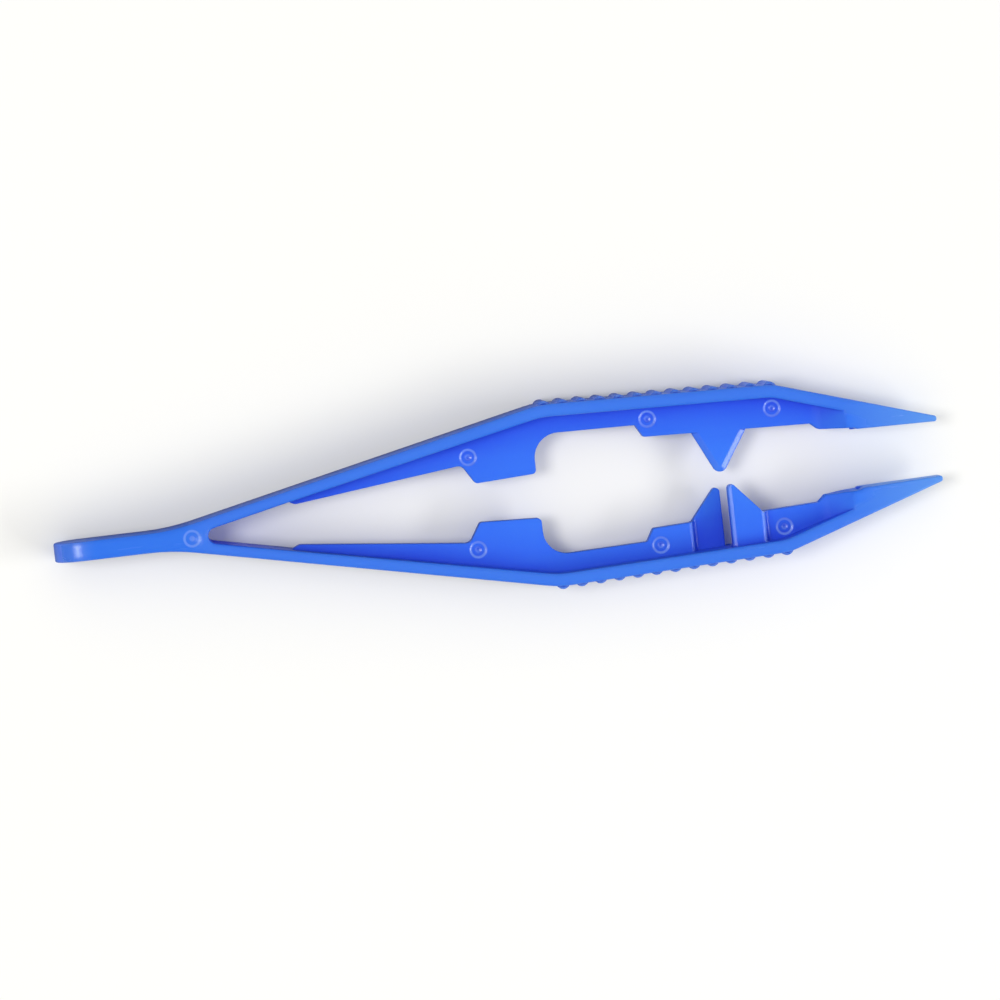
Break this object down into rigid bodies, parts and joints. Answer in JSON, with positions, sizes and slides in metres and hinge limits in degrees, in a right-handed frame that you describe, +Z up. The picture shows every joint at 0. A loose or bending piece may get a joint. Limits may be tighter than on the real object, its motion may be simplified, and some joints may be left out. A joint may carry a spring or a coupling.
{
  "type": "bead tweezers",
  "caption": "One-piece plastic tweezers with ribbed grips, rounded finger recesses, a tooth that slides into a split guide and tapered tips.",
  "frame": {"origin": "middle of the bounding box in plan, at the level of the lower edges that the tweezers lie on", "axes": "+X from the flat handle towards the tips, +Y from the arm with the guide towards the arm with the tooth, +Z up, from the lower edges to the face with the ejector marks"},
  "size_m": [0.1306, 0.0276, 0.0085],
  "materials": {
    "blue_plastic": "satin injection-moulded polypropylene, dyed blue through, slightly translucent at thin edges"
  },
  "bodies": {
    "root": {"tweezers": "blue_plastic"}
  },
  "joints": []
}
